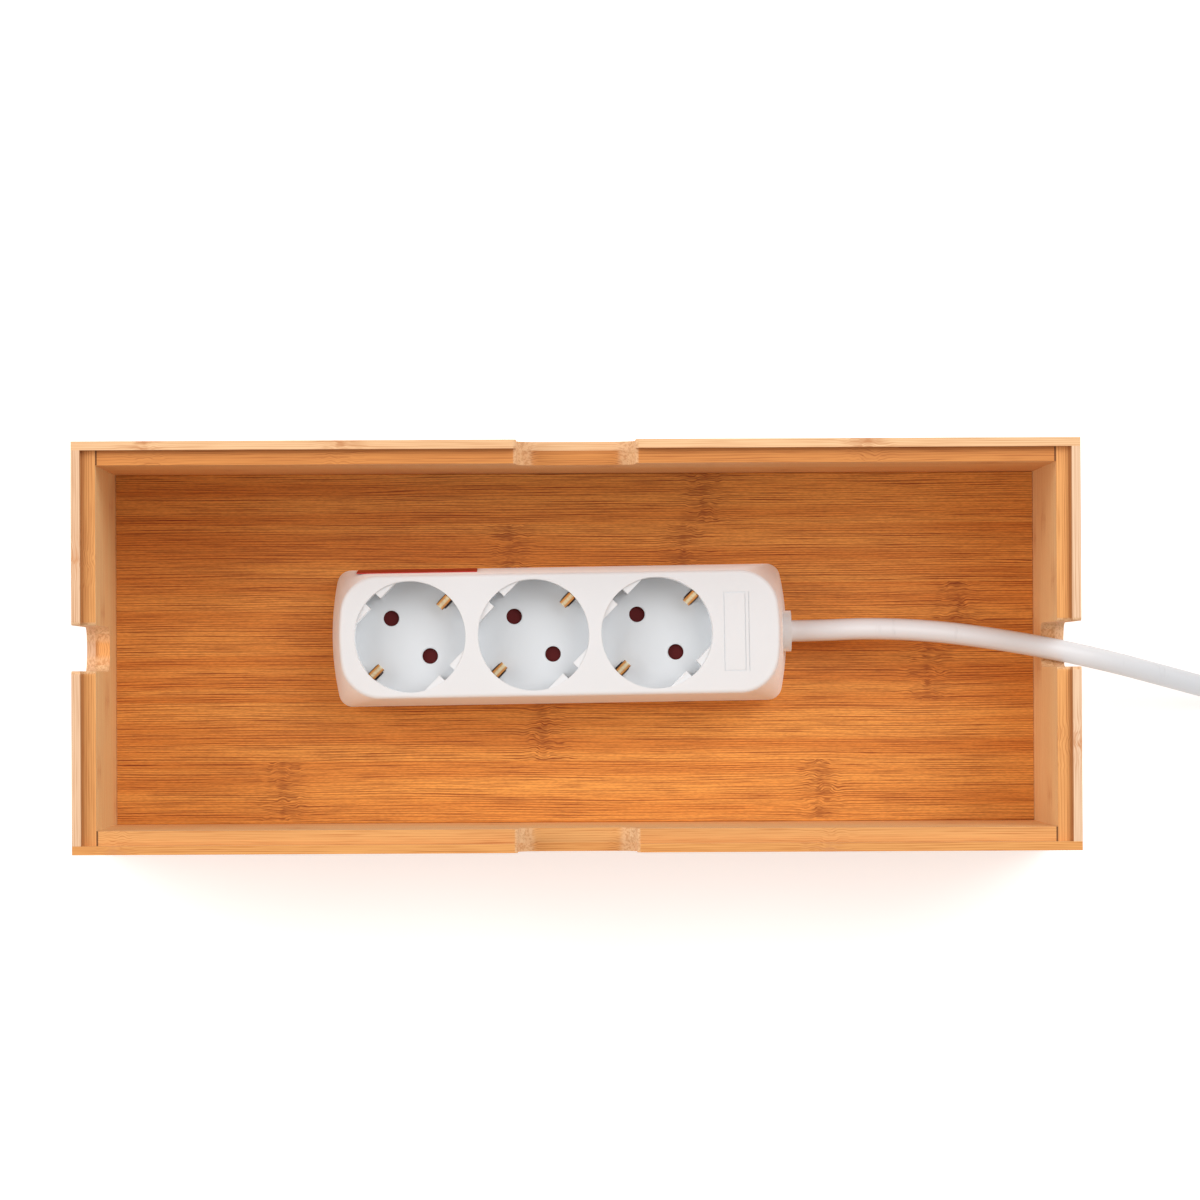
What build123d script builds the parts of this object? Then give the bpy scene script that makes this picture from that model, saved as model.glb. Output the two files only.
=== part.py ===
# Open bamboo cable box with a three-way socket strip standing in it.
# The strip's lead goes up through one end notch, over the wall and down to
# the surface that the box stands on, where the spare length lies in a coil.
# Millimetres. +X runs along the box, +Z is up, z = 0 is under the feet.
import math
import os

from build123d import *

os.makedirs("parts", exist_ok=True)

# ---- Box ----
box_length = 342.0
box_width = 140.0
wall_height = 113.0
wall_thickness = 8.0
lip_thickness = 3.0  # outer layer that rises past the ledge for the lid
lid_rebate_depth = 4.0
panel_thickness = 6.0
foot_height = 2.0
foot_diameter = 12.0
foot_inset = 18.0  # from the outer faces to a foot's centre
notch_width = 15.5
notch_depth = 75.0
scoop_width = 40.5
scoop_depth = 23.0
scoop_radius = 8.0
mouth_round = 1.5  # where a notch or scoop breaks the rim

# ---- Socket strip, in its own frame: u along it, v across it, w up ----
strip_x = -5.5
strip_y = 4.5
strip_turn = 0.69  # degrees
strip_height = 40.0
end_slope = 3.5  # how far each end leans in from foot to face
side_slope = 2.7
end_bulge = 3.0
base_corner = 5.0
face_corner = 14.0
face_round = 1.5
parting_drop = 24.0  # from the face down to the joint between the shells
shell_wall = 2.2
shell_floor = 2.5
face_thickness = 2.5

# ---- Sockets ----
socket_count = 3
recess_diameter = 39.0
recess_depth = 17.5
socket_gap = 4.2  # between two recesses
side_land = 2.0  # from a recess to the long edge of the face
start_land = 8.7  # from the first recess to the foot of the near end
lead_land = 27.1  # from the last recess to the foot of the lead's end
well_wall = 1.8
well_floor = 2.0
pin_spacing = 19.0
pin_angle = -45.0
pin_hole = 5.5
pin_hole_lead = 0.4
guide_depth = 2.7  # how far a guide block stands into the recess
guide_notch = 5.0
guide_drop = 1.0  # guide block below the face

# ---- Shutters behind the pin holes ----
shutter_diameter = 26.0
shutter_thickness = 2.4
shutter_hole = 5.8
shutter_turn = 38.0  # degrees from shut to open
shutter_gap = 0.3
pivot_diameter = 5.0
pivot_clearance = 0.05
pivot_end = 0.5  # pivot past its washer
spring_diameter = 7.2
spring_wire = 0.7
spring_pitch = 0.75
spring_turns = 2
washer_diameter = 9.0
washer_thickness = 0.5

# ---- Contacts ----
rail_thickness = 0.8
pin_rail_width = 6.0
earth_rail_width = 5.0
rail_overhang = 13.0  # past the last contact at each end
sleeve_diameter = 7.0
sleeve_wall = 1.0
sleeve_gap = 0.5  # from the top of a sleeve up to the pivots
earth_rail_drop = 1.4  # below the top of the sleeves
sleeve_slit = 0.8
clip_width = 3.0
clip_thickness = 0.6
clip_bow = 5.1  # from the recess wall to the bow of the clip
clip_slot_clearance = 0.35
earth_post_diameter = 4.0

# ---- Screws ----
shell_screw_margin = 4.5  # from the edge of the face
shell_screw_diameter = 3.0
shell_screw_head = 6.0
shell_screw_head_height = 2.0
shell_screw_sink = 5.0
shell_screw_margin_up = 11.5  # from the tip to the underside of the face
screw_clearance = 0.15
post_wall = 1.1
screw_slot_width = 0.8
clamp_screw_diameter = 2.9
clamp_screw_head = 5.4
clamp_screw_head_height = 1.8
clamp_screw_offset = 8.0

# ---- Lead ----
cord_diameter = 7.6
bush_flange_diameter = 14.4
bush_neck_wall = 1.5
bush_stand_off = 1.0  # flange face past the foot of the shell
bush_inner_thickness = 1.2
bush_inner_rim = 1.3
clamp_setback = 7.6  # bush to clamp, along the lead
clamp_length = 6.0
clamp_width = 21.5
clamp_cover = 1.6
clamp_squeeze = 0.7  # each clamp half stops this far from the lead's middle
stub_tail = 1.0
wire_diameter = 2.4
wire_bend = 2.5
wire_straight = 5.0  # out of the lead's cut end
wire_drop = 9.0  # length in which a conductor comes down to its rail

# ---- Face and side marks ----
blank_margin = 19.45  # middle of the blank to the foot of the lead's end
blank_length = 27.6
blank_width = 7.7
blank_line = 0.35
blank_depth = 0.3
blank_second_line = 1.1
label_length = 42.3
label_height = 22.0
label_thickness = 0.3
label_margin = 9.55  # from the foot of the near end
label_foot = 3.0

# ---- Coil and plug on the table ----
coil_x = 279.0
coil_y = 18.4
coil_radius = 39.0
coil_pitch = 7.8
plug_back_diameter = 41.0
plug_back_height = 17.0
plug_front_diameter = 37.0
plug_front_height = 17.0
plug_edge_round = 1.5
plug_pin_diameter = 4.8
plug_pin_length = 19.0
plug_pin_root = 10.0
plug_groove_width = 5.2
plug_groove_depth = 2.3
earth_plate_width = 4.0
earth_plate_thickness = 1.0
earth_plate_length = 14.0
boot_length = 28.0
boot_root_diameter = 13.5
boot_tip_diameter = 9.4
boot_rib_gap = 1.4
boot_rib_count = 4
boot_rib_depth = 1.0

# ---- Worked out from the sizes above ----
rim_height = foot_height + wall_height
ledge_height = rim_height - lid_rebate_depth
ledge_width = wall_thickness - lip_thickness
floor_top = foot_height + panel_thickness
notch_floor = rim_height - notch_depth
recess_radius = recess_diameter / 2
socket_pitch = recess_diameter + socket_gap
socket_span = (socket_count - 1) * socket_pitch
base_length = start_land + recess_diameter + socket_span + lead_land
face_length = base_length - 2 * end_slope
face_width = recess_diameter + 2 * side_land
base_width = face_width + 2 * side_slope
first_socket = -base_length / 2 + start_land + recess_radius
blank_offset = base_length / 2 - blank_margin
label_offset = -base_length / 2 + label_margin + label_length / 2
guide_distance = recess_radius - guide_depth
clip_reach = recess_radius - clip_bow
shell_screw_offset = face_width / 2 - shell_screw_margin
recess_floor = strip_height - recess_depth
well_underside = recess_floor - well_floor
cord_radius = cord_diameter / 2
shutter_top = well_underside - shutter_gap
shutter_bottom = shutter_top - shutter_thickness
parting_height = strip_height - parting_drop
gland_height = parting_height
spring_height = spring_turns * spring_pitch + spring_wire
washer_top = shutter_bottom - shutter_gap - spring_height
pivot_foot = washer_top - washer_thickness - pivot_end
pin_rail_top = shell_floor + rail_thickness
sleeve_top = pivot_foot - sleeve_gap
earth_rail_top = sleeve_top - earth_rail_drop
shell_screw_tip = strip_height - face_thickness - shell_screw_margin_up
pin_offset = pin_spacing / 2 * math.cos(math.radians(pin_angle))
socket_places = [first_socket + socket_pitch * i for i in range(socket_count)]
strip_place = Location((strip_x, strip_y, floor_top), (0, 0, strip_turn))
parts = {}


def block(x0, x1, y0, y1, z0, z1):
    """Box between three pairs of faces."""
    size = (x1 - x0, y1 - y0, z1 - z0)
    return Pos((x0 + x1) / 2, (y0 + y1) / 2, (z0 + z1) / 2) * Box(*size)


def post(x, y, z0, z1, radius):
    """Upright cylinder from z0 to z1."""
    return Pos(x, y, (z0 + z1) / 2) * Cylinder(radius, z1 - z0)


def rod(x0, x1, z, radius):
    """Cylinder along X at y = 0."""
    return Pos((x0 + x1) / 2, 0, z) * Rot(0, 90, 0) * Cylinder(radius, x1 - x0)


def group(pieces):
    """Separate solids of one kind, kept together."""
    return Compound([piece.solid() for piece in pieces])


# ---- Bamboo walls and floor ----
def scoop_cutter():
    """Finger scoop: square mouth, round bottom corners, right through in Y."""
    height = scoop_depth + 1
    profile = Pos(0, rim_height + 1 - height / 2) * Rectangle(scoop_width, height)
    profile = fillet(profile.vertices().sort_by(Axis.Y)[:2], scoop_radius)
    return extrude(Plane.XZ * profile, amount=box_width, both=True)


def notch_cutter():
    """Cable notch: straight sides and a half-round bottom, through in X."""
    radius = notch_width / 2
    middle = notch_floor + radius
    height = rim_height + 1 - middle
    profile = Pos(0, middle + height / 2) * Rectangle(notch_width, height)
    profile += Pos(0, middle) * Circle(radius)
    return extrude(Plane.YZ * profile, amount=box_length, both=True)


def round_mouth(wall, along, across, half_width):
    """Rounds the corners where a cut breaks the rim and the ledge."""
    edges = wall.edges().filter_by(across)
    sides = edges.filter_by_position(along, half_width - 0.1, half_width + 0.1)
    sides += edges.filter_by_position(along, -half_width - 0.1, -half_width + 0.1)
    mouth = sides.filter_by_position(Axis.Z, ledge_height - 0.1, rim_height + 0.1)
    return fillet(mouth, mouth_round)


def long_wall(side):
    """Front (-1) or back (+1) wall; its outer layer covers the end walls."""
    outer = side * box_width / 2
    inner = side * (box_width / 2 - wall_thickness)
    tongue = side * (box_width / 2 - lip_thickness)
    y0, y1 = sorted((inner, outer))
    cut0, cut1 = sorted((inner, tongue))
    half = box_length / 2
    wall = block(-half, half, y0, y1, foot_height, rim_height)
    wall -= block(-half, half, cut0, cut1, ledge_height, rim_height)
    for end in (-1, 1):
        x0, x1 = sorted((end * half, end * (half - wall_thickness)))
        wall -= block(x0, x1, cut0, cut1, foot_height, rim_height)
    wall -= scoop_cutter()
    return round_mouth(wall, Axis.X, Axis.Y, scoop_width / 2)


def end_wall(side):
    """Left (-1) or right (+1) wall, between the long walls' outer layers."""
    outer = side * box_length / 2
    inner = side * (box_length / 2 - wall_thickness)
    lip = side * (box_length / 2 - lip_thickness)
    x0, x1 = sorted((inner, outer))
    cut0, cut1 = sorted((inner, lip))
    half = box_width / 2 - lip_thickness
    wall = block(x0, x1, -half, half, foot_height, rim_height)
    wall -= block(cut0, cut1, -half, half, ledge_height, rim_height)
    wall -= notch_cutter()
    return round_mouth(wall, Axis.Y, Axis.X, notch_width / 2)


parts["front_wall"] = long_wall(-1)
parts["back_wall"] = long_wall(1)
parts["left_end_wall"] = end_wall(-1)
parts["right_end_wall"] = end_wall(1)

inner_x = box_length / 2 - wall_thickness
inner_y = box_width / 2 - wall_thickness
parts["floor_panel"] = block(-inner_x, inner_x, -inner_y, inner_y, foot_height, floor_top)

foot_x = box_length / 2 - foot_inset
foot_y = box_width / 2 - foot_inset
parts["foot_pads"] = group(
    post(sx * foot_x, sy * foot_y, 0, foot_height, foot_diameter / 2)
    for sx in (-1, 1)
    for sy in (-1, 1)
)


# ---- Strip housing ----
def outline(height, inset=0.0):
    """Rounded outline of the housing at a height, drawn in by inset."""
    share = height / strip_height
    length = base_length + (face_length - base_length) * share - 2 * inset
    width = base_width + (face_width - base_width) * share - 2 * inset
    corner = base_corner + (face_corner - base_corner) * share - inset
    x = length / 2 - end_bulge
    y = width / 2
    sides = [
        Line((-x, y), (x, y)),
        ThreePointArc((x, y), (length / 2, 0), (x, -y)),
        Line((x, -y), (-x, -y)),
        ThreePointArc((-x, -y), (-length / 2, 0), (-x, y)),
    ]
    shape = make_face(sides)
    return Pos(0, 0, height) * fillet(shape.vertices(), corner)


def end_face_at(height):
    """Distance from the middle to the housing's end at a height."""
    return (base_length + (face_length - base_length) * height / strip_height) / 2


def polar(distance, degrees):
    angle = math.radians(degrees)
    return distance * math.cos(angle), distance * math.sin(angle)


housing = loft([outline(0), outline(strip_height)], ruled=True)
housing = fillet(housing.faces().sort_by(Axis.Z)[-1].edges(), face_round)
cavity = loft(
    [outline(shell_floor, shell_wall), outline(strip_height - face_thickness, shell_wall)],
    ruled=True,
)
room = (-base_length, base_length, -base_width, base_width)
above = block(*room, parting_height, 2 * strip_height)
below = block(*room, -1, parting_height)

shell_screw_places = [
    (u, side * shell_screw_offset)
    for u in (first_socket + socket_pitch / 2, blank_offset - 1.2)
    for side in (-1, 1)
]
clip_angle = pin_angle + 90
clip_slot_half = clip_width / 2 + clip_slot_clearance
clip_foot = clip_reach + 2.2
clip_knee = clip_reach + 3.0
clip_tip = recess_radius - 0.1
groove_depth = well_wall / 2


def guide_blocks():
    """Two round-backed blocks in the recess, each with a notch."""
    ring = post(0, 0, recess_floor, strip_height - guide_drop, recess_radius)
    blocks = []
    for side in (-1, 1):
        x0, x1 = sorted((side * guide_distance, side * recess_radius))
        outer = block(x0, x1, -recess_radius, recess_radius, recess_floor, strip_height)
        notch = block(x0, x1, -guide_notch / 2, guide_notch / 2, recess_floor, strip_height)
        blocks.append(Rot(0, 0, pin_angle) * (outer - notch) & ring)
    return blocks


def recess_cutter():
    """Everything taken out of the housing for one socket, at its centre."""
    cutter = post(0, 0, recess_floor, strip_height + 1, recess_radius)
    for guide in guide_blocks():
        cutter -= guide
    for side in (-1, 1):
        x, y = polar(side * pin_spacing / 2, pin_angle)
        cutter += post(x, y, well_underside, recess_floor, pin_hole / 2)
        lead = Cone(pin_hole / 2, pin_hole / 2 + pin_hole_lead, pin_hole_lead)
        cutter += Pos(x, y, recess_floor - pin_hole_lead / 2) * lead
        x0, x1 = sorted((side * (clip_foot - 1.0), side * recess_radius))
        slot = block(x0, x1, -clip_slot_half, clip_slot_half, well_underside, recess_floor)
        g0, g1 = sorted((side * (recess_radius - 1), side * (recess_radius + groove_depth)))
        groove = block(g0, g1, -clip_slot_half, clip_slot_half, recess_floor, strip_height - 2)
        cutter += Rot(0, 0, clip_angle) * (slot + groove)
    return cutter


def top_shell():
    shell = (housing & above) - cavity
    well = post(0, 0, well_underside, strip_height - face_thickness, recess_radius + well_wall)
    pivot = post(0, 0, pivot_foot, well_underside, pivot_diameter / 2)
    wells = [Pos(u, 0) * well for u in socket_places]
    pivots = [Pos(u, 0) * pivot for u in socket_places]
    post_radius = shell_screw_diameter / 2 + 2
    posts = [
        post(u, v, parting_height, strip_height - face_thickness, post_radius)
        for u, v in shell_screw_places
    ]
    shell += [piece & housing for piece in wells + posts]
    shell -= [Pos(u, 0) * recess_cutter() for u in socket_places]
    shell += pivots
    for u, v in shell_screw_places:
        shell -= post(u, v, parting_height, shell_screw_tip, shell_screw_diameter / 2)
    shell -= rod(clamp_end, base_length, gland_height, bush_neck_radius)
    outer = Rectangle(blank_width, blank_length)
    inner = Rectangle(blank_width - 2 * blank_line, blank_length - 2 * blank_line)
    line = Pos(blank_width / 2 + blank_second_line, 0) * Rectangle(blank_line, blank_length)
    mark = Pos(blank_offset, 0, strip_height - blank_depth) * (outer - inner + line)
    shell -= extrude(mark, amount=1)
    return shell


bush_neck_radius = cord_radius + bush_neck_wall
bush_face = end_face_at(0) + bush_stand_off
bush_inner_radius = bush_neck_radius + bush_inner_rim
bush_inner_face = end_face_at(gland_height + bush_inner_radius) - shell_wall - 0.3
clamp_end = bush_inner_face - bush_inner_thickness - clamp_setback + clamp_length
clamp_start = clamp_end - clamp_length
clamp_middle = (clamp_start + clamp_end) / 2
stub_start = clamp_start - stub_tail


def base_shell():
    shell = (housing & below) - cavity
    post_radius = shell_screw_head / 2 + screw_clearance + post_wall
    for u, v in shell_screw_places:
        shell += post(u, v, shell_floor, parting_height, post_radius) & housing
    for u in earth_post_places:
        shell += post(u, 0, shell_floor, earth_rail_top - rail_thickness, earth_post_diameter / 2)
    saddle_top = gland_height - clamp_squeeze
    shell += block(clamp_start, clamp_end, -clamp_width / 2, clamp_width / 2, shell_floor, saddle_top)
    for u, v in shell_screw_places:
        shell -= post(u, v, 0, shell_screw_sink, shell_screw_head / 2 + screw_clearance)
        shell -= post(u, v, 0, parting_height, shell_screw_diameter / 2 + screw_clearance)
    for side in (-1, 1):
        v = side * clamp_screw_offset
        shell -= post(clamp_middle, v, clamp_screw_foot, saddle_top, clamp_screw_diameter / 2)
    shell -= rod(stub_start, clamp_end, gland_height, cord_radius)
    shell -= rod(clamp_end, base_length, gland_height, bush_neck_radius)
    return shell


earth_post_places = [u + socket_pitch / 2 for u in socket_places]
earth_post_places[-1] = socket_places[-1] + pin_offset + sleeve_diameter
clamp_top = gland_height + cord_radius + clamp_cover
clamp_screw_foot = gland_height - clamp_squeeze - 8.0

strip = {}
strip["strip_top_shell"] = top_shell()
strip["strip_base_shell"] = base_shell()


# ---- Current rails, pin contacts and earth clips ----
def rail(v, width, top):
    start = socket_places[0] - pin_offset - rail_overhang / 2
    end = socket_places[-1] + pin_offset + rail_overhang
    return block(start, end, v - width / 2, v + width / 2, top - rail_thickness, top)


strip["phase_rail"] = rail(pin_offset, pin_rail_width, pin_rail_top)
strip["neutral_rail"] = rail(-pin_offset, pin_rail_width, pin_rail_top)
strip["earth_rail"] = rail(0, earth_rail_width, earth_rail_top)


def pin_contacts(side):
    """Split sleeves on one rail, one for each socket."""
    sleeve = post(0, 0, pin_rail_top, sleeve_top, sleeve_diameter / 2)
    sleeve -= post(0, 0, pin_rail_top, sleeve_top, sleeve_diameter / 2 - sleeve_wall)
    slit_foot = pin_rail_top + (sleeve_top - pin_rail_top) / 4
    slit = block(0, sleeve_diameter, -sleeve_slit / 2, sleeve_slit / 2, slit_foot, sleeve_top)
    sleeve -= Rot(0, 0, pin_angle) * slit
    return group(Pos(u - side * pin_offset, side * pin_offset) * sleeve for u in socket_places)


strip["phase_contacts"] = pin_contacts(1)
strip["neutral_contacts"] = pin_contacts(-1)


def earth_clip():
    """Bent strip: across the rail, up through two slots, bowed into the recess."""
    foot = earth_rail_top + clip_thickness / 2
    arm = [
        (clip_foot, foot),
        (clip_knee, recess_floor),
        (clip_reach + clip_thickness / 2, (recess_floor + strip_height) / 2),
        (clip_tip, strip_height - 3),
    ]
    route = [(-x, z) for x, z in reversed(arm)] + arm
    line = FilletPolyline(*route, radius=1.5)
    profile = trace(line, line_width=clip_thickness)
    solid = extrude(Plane.XZ * profile, amount=clip_width / 2, both=True)
    return Rot(0, 0, clip_angle) * solid


clip = earth_clip()
for i, u in enumerate(socket_places, 1):
    strip[f"earth_clip_{i}"] = Pos(u, 0) * clip


# ---- Shutters, their springs and retaining washers ----
def shutter():
    """Disc that hides the contacts until two pins turn it."""
    disc = post(0, 0, shutter_bottom, shutter_top, shutter_diameter / 2)
    disc -= post(0, 0, shutter_bottom, shutter_top, pivot_diameter / 2 + pivot_clearance)
    for side in (-1, 1):
        x, y = polar(side * pin_spacing / 2, pin_angle - shutter_turn)
        disc -= post(x, y, shutter_bottom, shutter_top, shutter_hole / 2)
    return disc


def return_spring():
    radius = (spring_diameter - spring_wire) / 2
    low = washer_top + spring_wire / 2
    path = Pos(0, 0, low) * Helix(spring_pitch, spring_pitch * spring_turns, radius)
    section = Plane(path @ 0, z_dir=path % 0) * Circle(spring_wire / 2)
    return sweep(section, path=path)


def washer():
    disc = post(0, 0, washer_top - washer_thickness, washer_top, washer_diameter / 2)
    return disc - post(0, 0, washer_top - washer_thickness, washer_top, pivot_diameter / 2)


for i, u in enumerate(socket_places, 1):
    strip[f"shutter_{i}"] = Pos(u, 0) * shutter()
    strip[f"shutter_spring_{i}"] = Pos(u, 0) * return_spring()
    strip[f"shutter_washer_{i}"] = Pos(u, 0) * washer()


# ---- Lead entry: bush, clamp and conductors ----
def cord_bush():
    inner_end = bush_inner_face - bush_inner_thickness
    flange_back = end_face_at(0) - (base_length - face_length) / 2 - end_bulge
    flange = rod(flange_back, bush_face, gland_height, bush_flange_diameter / 2) - housing
    neck = rod(bush_inner_face, bush_face, gland_height, bush_neck_radius)
    inner = rod(inner_end, bush_inner_face, gland_height, bush_inner_radius)
    bore = rod(inner_end, bush_face, gland_height, cord_radius)
    return flange + neck + inner - bore


def clamp_bar():
    low = gland_height + clamp_squeeze
    bar = block(clamp_start, clamp_end, -clamp_width / 2, clamp_width / 2, low, clamp_top)
    bar -= rod(stub_start, clamp_end, gland_height, cord_radius)
    radius = clamp_screw_diameter / 2 + screw_clearance
    for side in (-1, 1):
        bar -= post(clamp_middle, side * clamp_screw_offset, low, clamp_top, radius)
    return bar


def clamp_screw(side):
    x = clamp_middle
    y = side * clamp_screw_offset
    top = clamp_top + clamp_screw_head_height
    shank = post(x, y, clamp_screw_foot, clamp_top, clamp_screw_diameter / 2)
    head = post(x, y, clamp_top, top, clamp_screw_head / 2)
    slot = Box(clamp_screw_head, screw_slot_width, clamp_screw_head_height)
    return shank + head - Pos(x, y, top) * slot


def shell_screw(u, v):
    shank = post(u, v, shell_screw_sink, shell_screw_tip, shell_screw_diameter / 2)
    head_low = shell_screw_sink - shell_screw_head_height
    head = post(u, v, head_low, shell_screw_sink, shell_screw_head / 2)
    arm = Box(shell_screw_head * 0.6, screw_slot_width, shell_screw_head_height)
    cross = arm + Rot(0, 0, 90) * arm
    return shank + head - Pos(u, v, head_low) * cross


strip["cord_bush"] = cord_bush()
strip["cord_stub"] = rod(stub_start, bush_face, gland_height, cord_radius)
strip["cord_clamp"] = clamp_bar()
strip["clamp_screws"] = group(clamp_screw(side) for side in (-1, 1))
strip["shell_screws"] = group(shell_screw(u, v) for u, v in shell_screw_places)


def conductor(start_v, start_w, end_v, rail_top):
    """Insulated wire from the cut end of the lead to the top of a rail."""
    radius = wire_diameter / 2
    rest = rail_top + radius
    end = socket_places[-1] + pin_offset + sleeve_diameter / 2 + radius + 1
    bend = stub_start - wire_straight
    halfway = bend - wire_drop * 5 / 9
    points = [
        (stub_start, start_v, start_w),
        (bend, start_v, start_w),
        (halfway, (start_v + end_v) / 2, (start_w + rest) / 2),
        (bend - wire_drop, end_v, rest),
        (end, end_v, rest),
    ]
    path = FilletPolyline(*points, radius=wire_bend)
    section = Plane(path @ 0, z_dir=path % 0) * Circle(radius)
    return sweep(section, path=path)


strip["phase_wire"] = conductor(1.5, gland_height - 1.1, pin_offset, pin_rail_top)
strip["neutral_wire"] = conductor(-1.5, gland_height - 1.1, -pin_offset, pin_rail_top)
strip["earth_wire"] = conductor(0, gland_height + 1.6, 0, earth_rail_top)


def side_label():
    """Plain label on the sloping back side."""
    slope = math.degrees(math.atan((base_width - face_width) / 2 / strip_height))
    plate = Box(label_length, label_thickness, label_height)
    plate = Pos(0, label_thickness / 2, label_foot + label_height / 2) * plate
    return Pos(label_offset, base_width / 2, 0) * Rot(slope, 0, 0) * plate


strip["side_label"] = side_label()

for name, shape in strip.items():
    parts[name] = strip_place * shape

# ---- Lead outside the strip ----
exit_point = (strip_place * Pos(bush_face, 0, gland_height)).position
past_exit = (strip_place * Pos(bush_face + 12, 0, gland_height)).position
run_points = [
    exit_point,
    past_exit,
    (103.0, 6.3, 28.0),
    (124.5, 5.3, 37.6),
    (146.0, 2.4, 44.2),
    (168.0, -1.6, 46.0),
    (188.0, -6.0, 40.0),
    (206.0, -10.6, 28.8),
    (222.0, -14.7, 16.4),
    (238.0, -19.0, 7.6),
    (254.0, -23.4, 3.9),
    (268.0, -27.2, 3.9),
]
tail_points = [
    (268.0, -23.0, 10.6),
    (282.0, -26.8, 11.8),
    (297.0, -30.8, 11.4),
    (309.0, -34.0, 8.7),
    (319.0, -36.7, 8.7),
]


def cord_path(points, name):
    """Straight runs joined by arcs as large as the runs allow."""
    nodes = [Vector(p) for p in points]
    radii = []
    for before, here, after in zip(nodes, nodes[1:], nodes[2:]):
        turn = math.radians((here - before).get_angle(after - here))
        run = min((here - before).length, (after - here).length)
        radii.append(0.45 * run / math.tan(turn / 2))
    print(name, "radii", [round(r) for r in radii])
    return FilletPolyline(*points, radius=radii)


def cord_tube(points, name):
    path = cord_path(points, name)
    section = Plane(path @ 0, z_dir=path % 0) * Circle(cord_radius)
    tube = sweep(section, path=path)
    expected = math.pi * cord_radius**2 * path.length
    print(name, "length", round(path.length, 1), "volume share", round(tube.volume / expected, 4))
    return tube


def coil_solid():
    """Outer shape of the coil: three turns on the table and two on them."""
    half = 1.5 * coil_pitch
    top_half = coil_pitch
    top = cord_diameter + coil_pitch * math.sqrt(3) / 2
    profile = Polyline(
        (coil_radius - half, 0),
        (coil_radius + half, 0),
        (coil_radius + half, cord_diameter * 0.75),
        (coil_radius + top_half, top),
        (coil_radius - top_half, top),
        (coil_radius - half, cord_diameter * 0.75),
        close=True,
    )
    ring = revolve(Plane.XZ * make_face(profile), Axis.Z)
    return Pos(coil_x, coil_y) * ring


parts["cord_run"] = cord_tube(run_points, "cord_run")
parts["cord_coil"] = coil_solid()
parts["cord_tail"] = cord_tube(tail_points, "cord_tail")


# ---- Plug, lying on its back beside the coil ----
tail_end = Vector(tail_points[-1])
plug_heading = tail_end - Vector(tail_points[-2])
plug_turn = math.degrees(math.atan2(plug_heading.Y, plug_heading.X))
plug_place = Location((tail_end.X, tail_end.Y, 0), (0, 0, plug_turn))
plug_lead_height = tail_end.Z
plug_middle = boot_length + plug_back_diameter / 2
plug_face = plug_back_height + plug_front_height


def plug_body():
    back = post(plug_middle, 0, 0, plug_back_height, plug_back_diameter / 2)
    back = fillet(back.edges().filter_by(GeomType.CIRCLE), plug_edge_round)
    front = post(plug_middle, 0, plug_back_height, plug_face, plug_front_diameter / 2)
    front = fillet(front.faces().sort_by(Axis.Z)[-1].edges(), plug_edge_round / 2)
    body = back + front
    radius = plug_front_diameter / 2
    for side in (-1, 1):
        y0, y1 = sorted((side * (radius - plug_groove_depth), side * (radius + 1)))
        x0 = plug_middle - plug_groove_width / 2
        body -= block(x0, x0 + plug_groove_width, y0, y1, plug_back_height, plug_face + 1)
        y = side * pin_spacing / 2
        body -= post(plug_middle, y, plug_face - plug_pin_root, plug_face, plug_pin_diameter / 2)
        body -= earth_plate(side)
    return body - plug_boot()


def earth_plate(side):
    """Spring plate let into the plug's flank, in line with the lead."""
    outer = side * (plug_front_diameter / 2 - 0.2)
    inner = outer - side * earth_plate_thickness
    x0, x1 = sorted((plug_middle + outer, plug_middle + inner))
    low = plug_face - 1 - earth_plate_length
    return block(x0, x1, -earth_plate_width / 2, earth_plate_width / 2, low, plug_face - 1)


def plug_pin(side):
    y = side * pin_spacing / 2
    top = plug_face + plug_pin_length
    pin = post(plug_middle, y, plug_face - plug_pin_root, top, plug_pin_diameter / 2)
    return fillet(pin.faces().sort_by(Axis.Z)[-1].edges(), plug_pin_diameter * 0.35)


def plug_boot():
    """Tapered, ribbed strain relief, sunk a little way into the plug."""
    root = plug_middle - math.sqrt((plug_back_diameter / 2) ** 2 - (boot_root_diameter / 2) ** 2)
    reach = root + 3
    boot = Cone(boot_tip_diameter / 2, boot_root_diameter / 2, reach)
    boot = Pos(reach / 2, 0, plug_lead_height) * Rot(0, 90, 0) * boot
    for i in range(boot_rib_count):
        x = boot_length * (i + 1) / (boot_rib_count + 1.5)
        wide = boot_root_diameter
        radius = (boot_tip_diameter + (boot_root_diameter - boot_tip_diameter) * x / reach) / 2
        for side in (-1, 1):
            y0, y1 = sorted((side * (radius - boot_rib_depth), side * wide))
            boot -= block(x, x + boot_rib_gap, y0, y1, 0, plug_lead_height + wide)
    table = block(-10, reach + 10, -wide, wide, -wide, 0)
    return boot - table


plug = {
    "plug_body": plug_body(),
    "plug_boot": plug_boot(),
    "plug_pins": group(plug_pin(side) for side in (-1, 1)),
    "plug_earth_contacts": group(earth_plate(side) for side in (-1, 1)),
}
for name, shape in plug.items():
    parts[name] = plug_place * shape

for name, shape in parts.items():
    export_step(shape, f"parts/{name}.step")
    print(name, len(shape.solids()), round(shape.volume, 1))
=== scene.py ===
import math

import bmesh
import bpy
from mathutils import Matrix, Vector


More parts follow.
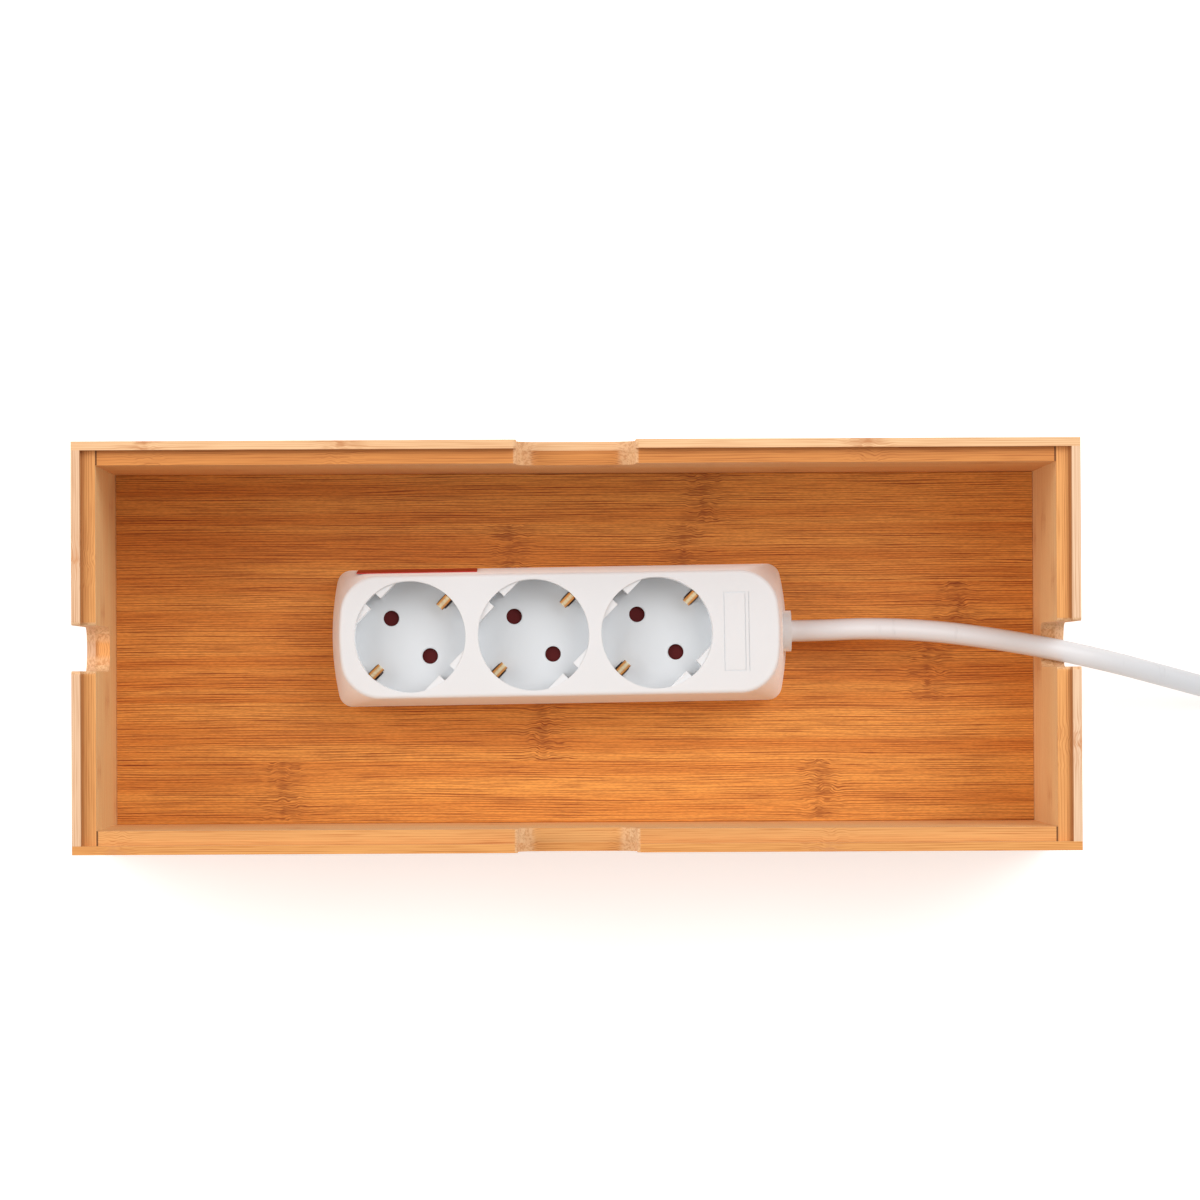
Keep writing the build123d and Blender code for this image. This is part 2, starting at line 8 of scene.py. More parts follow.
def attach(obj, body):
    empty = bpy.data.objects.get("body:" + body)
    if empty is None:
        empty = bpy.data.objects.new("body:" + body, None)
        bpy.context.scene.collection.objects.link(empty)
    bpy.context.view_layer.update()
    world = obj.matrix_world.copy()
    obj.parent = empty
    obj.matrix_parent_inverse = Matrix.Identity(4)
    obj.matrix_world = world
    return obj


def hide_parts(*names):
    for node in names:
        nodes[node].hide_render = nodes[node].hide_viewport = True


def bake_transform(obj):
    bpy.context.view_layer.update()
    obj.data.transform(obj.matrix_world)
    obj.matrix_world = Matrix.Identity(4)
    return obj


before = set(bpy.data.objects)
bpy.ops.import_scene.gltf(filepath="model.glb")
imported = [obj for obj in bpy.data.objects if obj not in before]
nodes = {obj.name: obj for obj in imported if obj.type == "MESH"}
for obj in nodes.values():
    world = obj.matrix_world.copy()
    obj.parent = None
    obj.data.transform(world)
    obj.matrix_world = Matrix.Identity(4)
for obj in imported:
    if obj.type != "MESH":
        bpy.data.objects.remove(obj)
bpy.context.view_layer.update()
scene = bpy.context.scene
millimetre = 0.001
white = (1, 1, 1, 1)
print("frame loaded:", len(nodes), "pieces")


# one shader socket; sums written with it become Math nodes
class Wire:
    def __init__(self, tree, socket):
        self.tree = tree
        self.socket = socket

    def node(self, kind, settings, inputs, output=0):
        made = self.tree.nodes.new(kind)
        for name, value in settings.items():
            setattr(made, name, value)
        for name, value in inputs.items():
            if isinstance(value, Wire):
                self.tree.links.new(value.socket, made.inputs[name])
            else:
                made.inputs[name].default_value = value
        return Wire(self.tree, made.outputs[output])

    def maths(self, operation, *values):
        return self.node("ShaderNodeMath", {"operation": operation}, dict(enumerate(values)))

    def __add__(self, other):
        return self.maths("ADD", self, other)

    def __sub__(self, other):
        return self.maths("SUBTRACT", self, other)

    def __rsub__(self, other):
        return self.maths("SUBTRACT", other, self)

    def __mul__(self, other):
        return self.maths("MULTIPLY", self, other)

    def __truediv__(self, other):
        return self.maths("DIVIDE", self, other)

    __radd__ = __add__
    __rmul__ = __mul__

    def over(self, limit):
        return self.maths("GREATER_THAN", self, limit)

    def size(self):
        return self.maths("ABSOLUTE", self)

    def whole(self):
        return self.maths("FLOOR", self)

    def wave(self):
        return self.maths("SINE", self)

    def least(self, other):
        return self.maths("MINIMUM", self, other)

    # 0 below low, 1 above high, smooth between
    def ease(self, low, high):
        made = {"interpolation_type": "SMOOTHSTEP"}
        return self.node("ShaderNodeMapRange", made, {0: self, 1: low, 2: high})

    def split(self):
        first = self.node("ShaderNodeSeparateXYZ", {}, {0: self})
        return [Wire(self.tree, socket) for socket in first.socket.node.outputs]

    def join(self, x, y, z):
        return self.node("ShaderNodeCombineXYZ", {}, {0: x, 1: y, 2: z})

    def stretch(self, scales):
        return self.node("ShaderNodeVectorMath", {"operation": "MULTIPLY"}, {0: self, 1: scales})

    def noise(self, scale, detail, roughness=0.5):
        inputs = {"Vector": self, "Scale": scale, "Detail": detail, "Roughness": roughness}
        return self.node("ShaderNodeTexNoise", {}, inputs)

    def chance(self):
        return self.node("ShaderNodeTexWhiteNoise", {"noise_dimensions": "3D"}, {"Vector": self})

    # this share of the second colour over the first
    def tint(self, first, second):
        made = {"data_type": "RGBA", "blend_type": "MIX"}
        return self.node("ShaderNodeMix", made, {0: self, 6: first, 7: second}, 2)

    def bump(self, depth, strength):
        return self.node("ShaderNodeBump", {}, {"Strength": strength, "Distance": depth, "Height": self})


# a colour as seen on a screen, 0 to 255, made linear
def tone(red, green, blue):
    def straight(value):
        value = value / 255
        return value / 12.92 if value <= 0.04045 else ((value + 0.055) / 1.055) ** 2.4

    return (straight(red), straight(green), straight(blue), 1.0)


def darkened(colour, share):
    return tuple(share * c for c in colour[:3]) + (1.0,)


def newFinish(name, fixed):
    material = bpy.data.materials.new(name)
    material.use_nodes = True
    tree = material.node_tree
    for socket, value in fixed.items():
        tree.nodes["Principled BSDF"].inputs[socket].default_value = value
    source = tree.nodes.new("ShaderNodeTexCoord")
    return material, Wire(tree, source.outputs["Object"]), Wire(tree, source.outputs["Normal"])


def feed(material, wires):
    tree = material.node_tree
    for socket, wire in wires.items():
        tree.links.new(wire.socket, tree.nodes["Principled BSDF"].inputs[socket])
    return material


view = {
    "place": (-12.166, -13.452, 2253.992),  # mm
    "turns": (-0.77547, 0.53824, 0.27335),  # degrees
    "lens": 189.608,
    "sensor": 36,
}
camera = bpy.data.objects.new("viewCamera", bpy.data.cameras.new("viewCamera"))
camera.data.lens = view["lens"]
camera.data.sensor_width = view["sensor"]
turnX, turnY, turnZ = (Matrix.Rotation(-math.radians(t), 4, a) for t, a in zip(view["turns"], "XYZ"))
camera.matrix_world = Matrix.Translation(Vector(view["place"]) * millimetre) @ turnX @ turnY @ turnZ
scene.collection.objects.link(camera)
scene.camera = camera
scene.view_settings.view_transform = "Standard"
scene.view_settings.look = "None"
print("camera done")

# the lead is one smooth line from the strip to the plug; lengths in mm, angles in degrees
lead = {
    "diameter": 7.6,
    "start": [
        (76.094, 5.483, 24.0), (88.093, 5.627, 24.0), (103.0, 6.3, 28.0), (124.5, 5.3, 37.6),
        (146.0, 2.4, 44.2), (168.0, -1.6, 46.0), (188.0, -6.0, 40.0), (206.0, -10.6, 28.8),
        (222.0, -14.7, 16.4), (238.0, -19.0, 7.6), (254.0, -23.4, 3.9),
    ],
    "coilMiddle": (279.0, 18.4),
    "coilRadius": 39.0,
    "pitch": 7.8,  # from one turn to the next
    "turns": 5,  # three on the table, each further in, then two on top of them
    "tableTurns": 2,  # the first ones, which end by moving inwards
    "climb": (180, 120, 60, 60),  # where each later turn starts and ends, round the middle one
    "entry": -105.2,
    "perTurn": 16,  # points of the line
    "shift": 150.0,  # part of each turn in which it moves across to the next
    "rest": 3.9,  # lead's middle above the table
    "end": [
        (268.0, -23.0, 10.6), (282.0, -26.8, 11.8), (297.0, -30.8, 11.4),
        (309.0, -34.0, 8.7), (319.0, -36.7, 8.7),
    ],
    "steps": 8,  # along the lead between two points
    "roundness": 5,  # round the lead
}


def coilPoints():
    pitch, middle = lead["pitch"], lead["coilRadius"]
    x, y = lead["coilMiddle"]
    shift = lead["shift"] / 360
    reach = 1 / math.cos(math.pi / lead["perTurn"])  # a smooth line runs inside its points
    points = []
    for i in range(1, lead["turns"] * lead["perTurn"]):
        turns = i / lead["perTurn"]
        turn = int(turns)
        share = min(max((turns - turn - 1 + shift) / shift, 0), 1)
        share = share * share * (3 - 2 * share)
        if turn < lead["tableTurns"]:
            radius, height = middle + pitch * (1 - turn) - pitch * share, lead["rest"]
        else:
            first, last = lead["climb"][turn - lead["tableTurns"]:][:2]
            lean = math.radians(first + (last - first) * share)
            radius = middle + pitch * math.cos(lean)
            height = lead["rest"] + pitch * math.sin(lean)
        angle = math.radians(lead["entry"] + 360 * turns)
        points.append((x + radius * reach * math.cos(angle), y + radius * reach * math.sin(angle), height))
    return points


route = lead["start"] + coilPoints() + lead["end"]
routeCurve = bpy.data.curves.new("leadRoute", "CURVE")
routeCurve.dimensions = "3D"
spline = routeCurve.splines.new("NURBS")
spline.points.add(len(route) - 1)
for point, place in zip(spline.points, route):
    point.co = (*(Vector(place) * millimetre), 1)
spline.order_u = 3
spline.use_endpoint_u = True
spline.resolution_u = lead["steps"]
routeObject = bpy.data.objects.new("leadRoute", routeCurve)
scene.collection.objects.link(routeObject)
bpy.context.view_layer.update()
leadLine = [v.co.copy() for v in bpy.data.meshes.new_from_object(routeObject).vertices]

# the same line again, now with the lead's thickness
routeCurve.bevel_depth = lead["diameter"] / 2 * millimetre
routeCurve.bevel_resolution = lead["roundness"]
routeCurve.use_fill_caps = True
bpy.context.view_layer.update()
leadMesh = bpy.data.meshes.new_from_object(
    routeObject.evaluated_get(bpy.context.evaluated_depsgraph_get()))
bpy.data.objects.remove(routeObject)
leadMesh.name = "lead"
leadTube = bpy.data.objects.new("lead", leadMesh)
scene.collection.objects.link(leadTube)
leadMesh.polygons.foreach_set("use_smooth", [True] * len(leadMesh.polygons))


# lengths in metres; a share is how strongly a pattern shows, 0 to 1
bamboo = {
    "gloss": 0.22,
    "boardWidth": 0.021,
    "firstBoard": 0.061,  # where the boards are counted from
    "strands": 7400,  # radians of the fibre pattern in each metre across it
    "strandWander": 15,  # radians by which uneven growth puts it out of step
    "lineShare": 0.56,
    "threadShare": 0.36,
    "speckShare": 0.2,
    "knuckleReach": 0.012,
    "knuckleJag": 0.008,  # how far the ends of a knuckle's marks wander
    "knotEdge": (0.0003, 0.0018),
    "knotJag": 0.004,
    "markShare": 0.42,
    "knotShare": 0.12,
    "fibreSway": 0.0012,
    "knuckleSwirl": 0.0022,
    "ledgeReach": 0.0055,  # from the lip inwards
    "paintedLipShadeEdge": (0.0016, 0.0004),  # painted shade in the corner of ledge and lip
    "paintedLipShadeTone": tone(150, 84, 44),
    "seamGapShadowTone": tone(84, 46, 22),
    "seamGapShadowShare": 0.85,
    "endGrain": tone(238, 192, 146),
    "endDots": tone(212, 158, 112),
    "endShare": 0.7,
    "reliefDepth": 0.00008,
}
# each pattern: scale along the fibres, scale across them, detail, roughness
fibrePatterns = {
    "jag": (70, 700, 2, 0.5),
    "sway": (11, 40, 1, 0.5),
    "swirl": (190, 150, 1, 0.5),
    "uneven": (5, 330, 2, 0.6),
    "strength": (24, 520, 2, 0.6),
    "threads": (60, 2600, 1, 0.5),
    "sheen": (4, 140, 2, 0.5),
    "dashes": (120, 1300, 1.5, 0.5),
    "speck": (500, 3400, 1, 0.5),
    "dots": (300, 1300, 1.5, 0.5),
}
# along, across and through are the axes of a piece's fibres; plyEdge is where its outer layer starts,
# joint is where the long walls' seam with the end walls lies, and both are 1 m away where there is none
longWall = {"slot": "bamboo_wall", "along": 0, "across": 2, "through": 1, "plyEdge": 0.067, "joint": 0.1624}
endWall = {"slot": "bamboo_end", "along": 1, "across": 2, "through": 0, "plyEdge": 0.168, "joint": 1.0}
endLedge = [tone(236, 170, 102), tone(176, 96, 42), 0.5]
backLip = [tone(240, 194, 146), tone(204, 140, 90)]
# tones: pale fibre, deep fibre, dark line, knuckle; ledge: light, dark, share of painted shade beside the
# lip;
# lip, which is the outer face too: light, dark; knuckles: board number, mm along it
bambooPieces = {
    "front_wall": {
        **longWall, "name": "frontWall", "finish": "bambooFront", "seed": 11,
        "tones": [tone(255, 224, 174), tone(250, 208, 152), tone(226, 164, 108), tone(206, 138, 86)],
        "ledge": [tone(230, 168, 102), tone(182, 102, 46), 0.12],
        "lip": [tone(230, 162, 92), tone(180, 98, 40)],
        "knuckles": [(8, -157), (8, 85), (7, 20), (6, -96), (5, 130), (4, -30), (3, 66)],
    },
    "back_wall": {
        **longWall, "name": "backWall", "finish": "bambooBack", "seed": 10,
        "tones": [tone(247, 200, 146), tone(238, 184, 124), tone(206, 138, 82), tone(186, 114, 64)],
        "ledge": [tone(218, 144, 76), tone(150, 74, 30), 0.3],
        "lip": backLip,
        "knuckles": [
            (8, -146), (8, -80), (8, 99), (7, 142), (6, 10), (5, -120), (4, 74), (3, -44),
        ],
    },
    "left_end_wall": {
        **endWall, "name": "leftEndWall", "finish": "bambooLeft", "seed": 10,
        "tones": [tone(255, 232, 178), tone(252, 216, 158), tone(230, 178, 124), tone(208, 142, 92)],
        "ledge": endLedge,
        "lip": [tone(232, 190, 152), tone(196, 140, 100)],
        "knuckles": [(8, 30), (7, -42), (6, 12), (5, -18), (4, 50), (3, -55)],
    },
    "right_end_wall": {
        **endWall, "name": "rightEndWall", "finish": "bambooRight", "seed": 11,
        "tones": [tone(254, 220, 166), tone(247, 204, 146), tone(224, 166, 112), tone(202, 132, 82)],
        "ledge": endLedge,
        "lip": [tone(238, 200, 164), tone(200, 144, 104)],
        "knuckles": [(8, -34), (7, 22), (6, -52), (5, 44), (4, -8), (3, 38)],
    },
    "floor_panel": {
        "name": "floorPanel", "finish": "bambooFloor", "slot": "bamboo_floor", "seed": 11,
        "along": 0, "across": 1, "through": 2, "plyEdge": 1.0, "joint": 1.0,
        "tones": [tone(245, 171, 84), tone(222, 137, 56), tone(122, 47, 18), tone(130, 59, 21)],
        "ledge": endLedge,
        "lip": backLip,
        "knuckles": [
            (0, -104), (0, 86.6), (1, -11.2), (2, 125), (3, 136), (4, 38.5), (4, -23), (5, 45.7),
        ],
    },
}


def fibrePattern(name, length, width, depth, shift=None):
    along, across, detail, roughness = fibrePatterns[name]
    start = length * along if shift is None else length * along + shift
    return length.join(start, width * across, depth * across).noise(1, detail, roughness)


def bambooFinish(panel):
    material, place, facing = newFinish(panel["finish"], {"Specular IOR Level": bamboo["gloss"]})
    axes = place.split()
    length, width, depth = (axes[panel[way]] for way in ("along", "across", "through"))
    plain = (length, width, depth)
    plyEdge = panel["plyEdge"]
    pale, deep, darkLine, knuckleTone = panel["tones"]
    ledgeLight, ledgeDark, paintedLipShadeShare = panel["ledge"]
    outer = depth.size().over(plyEdge)
    board = ((width + bamboo["firstBoard"]) / bamboo["boardWidth"]).whole()
    shift = board * 5.3 + outer * 2.9 + panel["seed"] * 0.7
    luck = place.join(board, outer, panel["seed"] * 1.3).chance()

    # distance to the nearest knuckle on this board
    away = 1.0
    for count, middle in panel["knuckles"]:
        gap = (length - middle * millimetre).size() + (board - count).size()
        away = gap.least(away)
    jag = fibrePattern("jag", *plain) - 0.5
    near = 1 - (away + jag * bamboo["knuckleJag"]).ease(0.0, bamboo["knuckleReach"])
    knot = 1 - (away + jag * bamboo["knotJag"]).ease(*bamboo["knotEdge"])

    # fibres are nearly straight, and bend where they cross a knuckle
    sway = fibrePattern("sway", *plain) - 0.5
    swirl = fibrePattern("swirl", *plain) - 0.5
    drift = sway * bamboo["fibreSway"] + near * swirl * bamboo["knuckleSwirl"]
    fibre = (length, width + drift, depth + drift)
    uneven = fibrePattern("uneven", *fibre, shift)
    strand = ((fibre[1] + fibre[2]) * bamboo["strands"] + uneven * bamboo["strandWander"]).wave()
    strength = fibrePattern("strength", *fibre, shift)
    line = strand.ease(0.1, 0.9) * (0.32 + strength.ease(0.38, 0.62) * 0.68)
    thread = fibrePattern("threads", *fibre, shift).ease(0.45, 0.7)
    dark = line * bamboo["lineShare"] + thread * bamboo["threadShare"]
    sheen = fibrePattern("sheen", *fibre, shift)
    dashes = fibrePattern("dashes", *fibre)
    marks = near * dashes.ease(0.42, 0.58)
    speck = fibrePattern("speck", *plain).ease(0.4, 0.65)

    shade = (luck * 0.3 + sheen.ease(0.35, 0.65) * 0.7).tint(pale, deep)
    shade = dark.tint(shade, darkLine)
    shade = (speck * bamboo["speckShare"]).tint(shade, darkLine)
    shade = (marks * bamboo["markShare"] + knot * bamboo["knotShare"]).tint(shade, knuckleTone)
    skin = (dark * 0.85 + sheen.ease(0.4, 0.7) * 0.25).tint(*panel["lip"])
    skin = (marks * 0.5 + knot * 0.2).tint(skin, knuckleTone)

    # the ledge is the inner layer's cut edge, with painted shade where it meets the lip
    ledge = (dark * 0.7 + sheen.ease(0.4, 0.7) * 0.2).tint(ledgeLight, ledgeDark)
    top = facing.split()[2].over(0.7) * depth.size().over(plyEdge - bamboo["ledgeReach"])
    shade = top.tint(shade, ledge)
    # painted shade: the lip's step would shade the ledge next to it
    start, full = (plyEdge - edge for edge in bamboo["paintedLipShadeEdge"])
    paintedLipShade = depth.size().ease(start, full) * (1 - outer) * paintedLipShadeShare
    shade = paintedLipShade.tint(shade, bamboo["paintedLipShadeTone"])
    # painted shadow of the hairline gap where the long walls meet the end walls
    seamGapShadow = length.size().over(panel["joint"]) * top * bamboo["seamGapShadowShare"]
    shade = seamGapShadow.tint(shade, bamboo["seamGapShadowTone"])
    shade = outer.tint(shade, skin)

    # cut ends show the fibres as dots
    ends = facing.split()[panel["along"]].size().ease(0.2, 0.5)
    cut = fibrePattern("dots", *plain).ease(0.46, 0.62).tint(bamboo["endGrain"], bamboo["endDots"])
    shade = (ends * bamboo["endShare"]).tint(shade, cut)
    relief = (1 - dark) * 0.7 - near * dashes * 0.5
    return feed(material, {
        "Base Color": shade,
        "Roughness": 0.48 + dark * 0.1 + ends * 0.2,
        "Normal": relief.bump(bamboo["reliefDepth"], 0.35),
    })


rounding = {
    "weld": 2e-6,  # metres
    "flat": math.radians(1),  # faces closer than this are one face
    "sharp": math.radians(28),  # edges sharper than this are rounded
    "shading": math.radians(40),
    "bambooEdge": (0.4, 3),  # mm, steps
    "recessEdge": (0.35, 2),
    "partingEdge": (0.3, 2),
}


# a copy of a CAD piece with its edges rounded as the real one's are
def roundedCopy(node, name, body, finish, passes):
    shape = bmesh.new()
    shape.from_mesh(nodes[node].data)
    bmesh.ops.remove_doubles(shape, verts=shape.verts, dist=rounding["weld"])
    bmesh.ops.dissolve_limit(
        shape, angle_limit=rounding["flat"], use_dissolve_boundaries=False,
        verts=shape.verts, edges=shape.edges)
    for (width, steps), wanted in passes:
        sharp = [
            edge for edge in shape.edges
            if len(edge.link_faces) == 2 and edge.calc_face_angle() > rounding["sharp"]
            and edge.is_convex and all(wanted(v.co / millimetre) for v in edge.verts)
        ]
        print(" ", name, "edges rounded", len(sharp))
        bmesh.ops.bevel(
            shape, geom=sharp, offset=width * millimetre, offset_type="OFFSET", segments=steps,
            profile=0.5, affect="EDGES", clamp_overlap=True, material=-1)
    mesh = bpy.data.meshes.new(name)
    shape.to_mesh(mesh)
    shape.free()
    mesh.polygons.foreach_set("use_smooth", [True] * len(mesh.polygons))
    mesh.set_sharp_from_angle(angle=rounding["shading"])
    piece = bpy.data.objects.new(name, mesh)
    scene.collection.objects.link(piece)
    mesh.materials.clear()
    mesh.materials.append(finish)
    weighted = piece.modifiers.new("evenShading", "WEIGHTED_NORMAL")
    weighted.keep_sharp = True
    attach(piece, body)
    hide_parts(node)
    return piece


def anywhere(place):
    return True


for node, panel in bambooPieces.items():
    name, slot = panel["name"], panel["slot"]
    piece = roundedCopy(node, name, "box", bambooFinish(panel), [(rounding["bambooEdge"], anywhere)])
print("bamboo pieces done")


# a moulded surface: fine grain, soft clouds and faint scuffs; where side light is given, painted light on
# side faces and painted shade on socket floors
def mouldedFinish(name, colour, roughness, grain=1400, depth=0.00002, marks=0.04, fixed=None, paintedSideLight=None):
    material, place, facing = newFinish(name, fixed or {})
    skin = place.noise(grain, 2)
    cloud = place.noise(45, 3, 0.6)
    scuff = place.stretch((260, 60, 120)).noise(1, 3, 0.65).ease(0.58, 0.74)
    darker = darkened(colour, 0.8)
    shade = (cloud * 0.16 + scuff * marks * 4).tint(colour, darker)
    if paintedSideLight:
        # painted light: faces that look sideways get a paler, cooler tone than the top
        level = facing.split()[2].size().ease(0.2, 0.7)
        shade = (1 - level).tint(shade, paintedSideLight)
        # painted shade: the socket floors, below the face, are darkened
        paintedSocketShade = 1 - place.split()[2].over(strip["faceLevel"])
        shade = (level * paintedSocketShade * 0.5).tint(shade, darker)
    return feed(material, {
        "Base Color": shade,
        "Roughness": roughness + (skin - 0.5) * 0.1 + scuff * 0.08,
        "Normal": skin.bump(depth, 0.35),
    })


# a drawn or stamped metal: fine lines and dull patches
def metalFinish(name, colour, roughness, stretch):
    material, place = newFinish(name, {"Metallic": 1.0})[:2]
    lines = place.stretch(stretch).noise(1, 2)
    patch = place.noise(160, 3, 0.6)
    shade = (patch.ease(0.4, 0.75) * 0.35).tint(colour, darkened(colour, 0.55))
    return feed(material, {
        "Base Color": shade,
        "Roughness": roughness + lines * 0.16 + patch * 0.08,
        "Normal": lines.bump(0.00002, 0.4),
    })


# the strip stands a little askew in the box; lengths in mm
strip = {
    "middle": (-5.5, 4.5),
    "slant": math.radians(0.69),
    "sockets": (-52.4, -9.2, 34.0),  # their middles, along the strip
    "recessReach": 19.75,  # a recess's edges lie within this of its middle
    "recessFloor": 30.6,  # and above this
    "partingLine": 24.0,
    "partingReach": 20,  # the seam isn't rounded nearer to a socket's middle
    "partingEnd": 75.2,  # nor further along x
    "faceLevel": 0.044,  # metres; level faces below it are socket floors
}
mouldings = {
    "whiteShell": {
        "colour": tone(226, 229, 232), "roughness": 0.42, "grain": 1700, "depth": 0.000012,
        "marks": 0.006, "paintedSideLight": tone(246, 251, 255),
        "fixed": {
            "Specular IOR Level": 0.2, "Sheen Weight": 0.9, "Sheen Roughness": 0.6,
            "Subsurface Weight": 0.25, "Subsurface Radius": (0.003, 0.003, 0.003),
            "Subsurface Scale": 1.0,
        },
    },
    "leadSheath": {
        "colour": tone(225, 226, 229), "roughness": 0.42, "grain": 900, "depth": 0.00003, "marks": 0.09,
    },
    "whitePlug": {
        "colour": tone(218, 219, 221), "roughness": 0.4, "grain": 1300, "depth": 0.00002, "marks": 0.03,
    },
    "maroonShutter": {
        "colour": tone(84, 18, 18), "roughness": 0.6, "grain": 1500, "depth": 0.00004, "marks": 0.2,
        "fixed": {"Specular IOR Level": 0.15},
    },
    "footRubber": {
        "colour": tone(52, 50, 48), "roughness": 0.75, "grain": 1100, "depth": 0.00005, "marks": 0.1,
    },
    "redLabel": {
        "colour": tone(196, 44, 44), "roughness": 0.4, "grain": 2200, "depth": 0.000008, "marks": 0.02,
        "fixed": {"Specular IOR Level": 0.3},
    },
    "brownWire": {"colour": tone(96, 58, 36), "roughness": 0.4},
    "blueWire": {"colour": tone(58, 104, 176), "roughness": 0.4},
}
metals = {
    "brassContact": {"colour": tone(214, 178, 96), "roughness": 0.26, "stretch": (60, 900, 900)},
    "springSteel": {"colour": tone(196, 198, 202), "roughness": 0.24, "stretch": (500, 500, 900)},
    "screwSteel": {"colour": tone(188, 190, 194), "roughness": 0.28, "stretch": (700, 700, 700)},
    "plugNickel": {"colour": tone(206, 204, 200), "roughness": 0.2, "stretch": (600, 600, 80)},
}
finishes = {name: mouldedFinish(name, **moulding) for name, moulding in mouldings.items()}
finishes.update({name: metalFinish(name, **metal) for name, metal in metals.items()})

clip = {
    # painted highlight along the clip's bow
    "bow": tone(255, 246, 210),
    "flank": tone(236, 168, 92),
    # painted shadow of the slot along the clip's edges
    "edge": tone(96, 48, 22),
    "tarnish": tone(170, 106, 52),
    "bowReach": (0.0002, 0.001),  # metres from the clip's middle line
    "slotShadowReach": (0.0012, 0.0014),
}


# bent copper strip, with a painted highlight along the middle of its bow and painted slot shadow along its
# edges
def clipFinish():
    material, place = newFinish("copperClip", {"Metallic": 0.75, "Roughness": 0.3})[:2]
    cosine, sine = math.cos(strip["slant"]), math.sin(strip["slant"])
    pitch = (strip["sockets"][1] - strip["sockets"][0]) * millimetre
    x, y = (value - middle * millimetre for value, middle in zip(place.split(), strip["middle"]))
    turnedX, turnedY = x * cosine + y * sine, y * cosine - x * sine
    count = (turnedX - strip["sockets"][0] * millimetre) / pitch + 0.5
    turnedX = (count - count.whole() - 0.5) * pitch
    aside = ((turnedX - turnedY) * math.sqrt(0.5)).size()
    drawn = place.noise(900, 2)
    shade = (1 - aside.ease(*clip["bowReach"])).tint(clip["flank"], clip["bow"])
    shade = aside.ease(*clip["slotShadowReach"]).tint(shade, clip["edge"])
    shade = (drawn.ease(0.45, 0.7) * 0.2).tint(shade, clip["tarnish"])
    return feed(material, {"Base Color": shade, "Normal": drawn.bump(0.00002, 0.3)})


earthStripes = {"green": tone(58, 140, 62), "yellow": tone(226, 206, 58), "slope": (90, 700, 300)}


def stripedWire():
    material, place = newFinish("earthWire", {})[:2]
    x, y, z = (value * slope for value, slope in zip(place.split(), earthStripes["slope"]))
    lanes = y + z + x
    lanes = (lanes - lanes.whole()).over(0.5)
    mottle = place.noise(600, 2)
    return feed(material, {
        "Base Color": lanes.tint(earthStripes["green"], earthStripes["yellow"]),
        "Roughness": 0.36 + mottle * 0.12,
        "Normal": mottle.bump(0.00002, 0.3),
    })


finishes["copperClip"] = clipFinish()
finishes["earthWire"] = stripedWire()
print("finishes done:", len(finishes))


alongStrip = Vector((math.cos(strip["slant"]), math.sin(strip["slant"])))
socketMiddles = [Vector(strip["middle"]) + alongStrip * along for along in strip["sockets"]]


def fromSocket(place):
    return min((place.xy - middle).length for middle in socketMiddles)


def recessEdge(place):
    return place.z > strip["recessFloor"] and fromSocket(place) < strip["recessReach"]


def partingEdge(place):
    return (
        abs(place.z - strip["partingLine"]) < 0.05 and abs(place.x) < strip["partingEnd"]
        and fromSocket(place) > strip["partingReach"])


recess, parting = (rounding["recessEdge"], recessEdge), (rounding["partingEdge"], partingEdge)
whiteShell = finishes["whiteShell"]
topShell = roundedCopy("strip_top_shell", "topShell", "power_strip", whiteShell, [recess, parting])
baseShell = roundedCopy("strip_base_shell", "baseShell", "power_strip", whiteShell, [parting])
print("strip shells done")

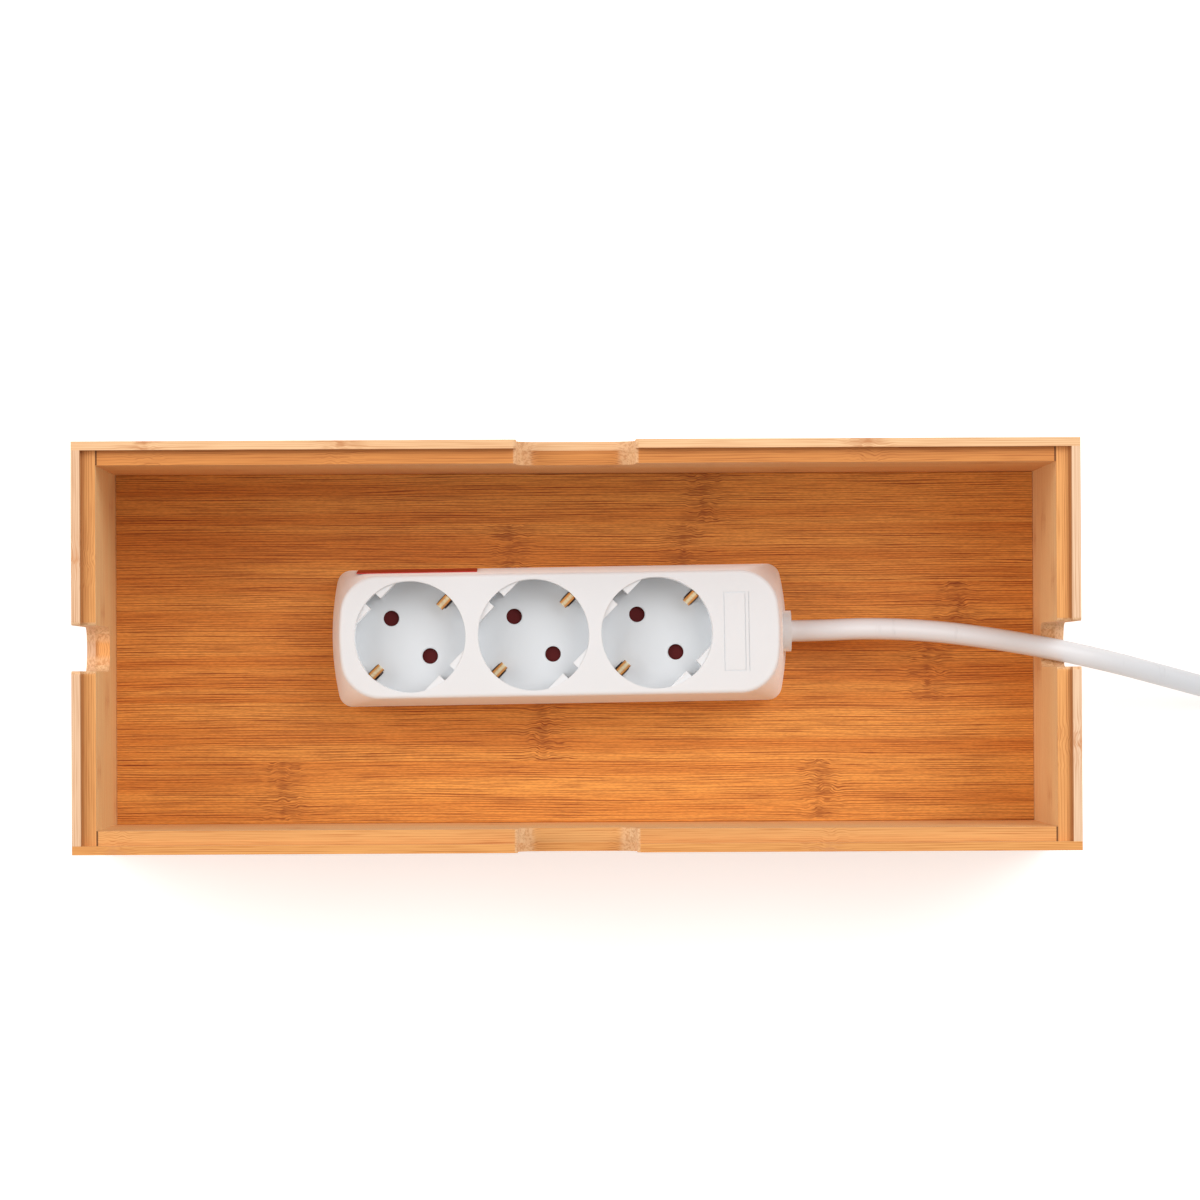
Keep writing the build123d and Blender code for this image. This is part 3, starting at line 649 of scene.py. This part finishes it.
# CAD pieces that are shown as they are
carried = {
    "foot_pads": "footRubber", "phase_rail": "brassContact", "neutral_rail": "brassContact",
    "earth_rail": "brassContact", "phase_contacts": "brassContact", "neutral_contacts": "brassContact",
    "clamp_screws": "screwSteel", "shell_screws": "screwSteel", "cord_bush": "whiteShell",
    "cord_stub": "leadSheath", "cord_clamp": "whiteShell", "phase_wire": "brownWire",
    "neutral_wire": "blueWire", "earth_wire": "earthWire", "side_label": "redLabel",
    "plug_body": "whitePlug", "plug_boot": "whitePlug", "plug_pins": "plugNickel",
    "plug_earth_contacts": "plugNickel",
}
for number in (1, 2, 3):
    carried[f"earth_clip_{number}"] = "copperClip"
    carried[f"shutter_{number}"] = "maroonShutter"
    carried[f"shutter_spring_{number}"] = "springSteel"
    carried[f"shutter_washer_{number}"] = "springSteel"
for node, finish in carried.items():
    mesh = nodes[node].data
    mesh.materials.clear()
    mesh.materials.append(finishes[finish])
print("carried pieces finished:", len(carried))

leadMesh.materials.clear()
leadMesh.materials.append(finishes["leadSheath"])
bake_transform(leadTube)
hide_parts("cord_run", "cord_coil", "cord_tail")
print("lead done")

studio = {"floorSize": 60.0, "floorShade": tone(250, 250, 250), "skyStrength": 0.48, "paperGlow": 0.4}
table = bmesh.new()
bmesh.ops.create_grid(table, x_segments=1, y_segments=1, size=studio["floorSize"] / 2)
tableMesh = bpy.data.meshes.new("studioFloor")
table.to_mesh(tableMesh)
table.free()
studioFloor = bpy.data.objects.new("studioFloor", tableMesh)
scene.collection.objects.link(studioFloor)
tableMesh.materials.append(newFinish("studioPaper", {
    "Base Color": studio["floorShade"], "Roughness": 0.9,
    "Emission Color": white, "Emission Strength": studio["paperGlow"],
})[0])

world = bpy.data.worlds.new("studioSky")
world.use_nodes = True
sky = world.node_tree.nodes["Background"]
sky.inputs["Color"].default_value = white
sky.inputs["Strength"].default_value = studio["skyStrength"]
scene.world = world

# places and sizes in metres, power in watts
lamps = {
    "keySoftBox": {"place": (0.9, 0.7, 1.9), "size": 1.2, "power": 22},
    "leftSoftBox": {"place": (-1.3, 0.3, 1.5), "size": 1.3, "power": 18},
}
for name, lamp in lamps.items():
    light = bpy.data.lights.new(name, "AREA")
    light.shape = "SQUARE"
    light.size = lamp["size"]
    light.energy = lamp["power"]
    holder = bpy.data.objects.new(name, light)
    holder.location = lamp["place"]
    holder.rotation_euler = (-Vector(lamp["place"])).to_track_quat("-Z", "Y").to_euler()
    holder.visible_camera = False
    scene.collection.objects.link(holder)
print("studio done")
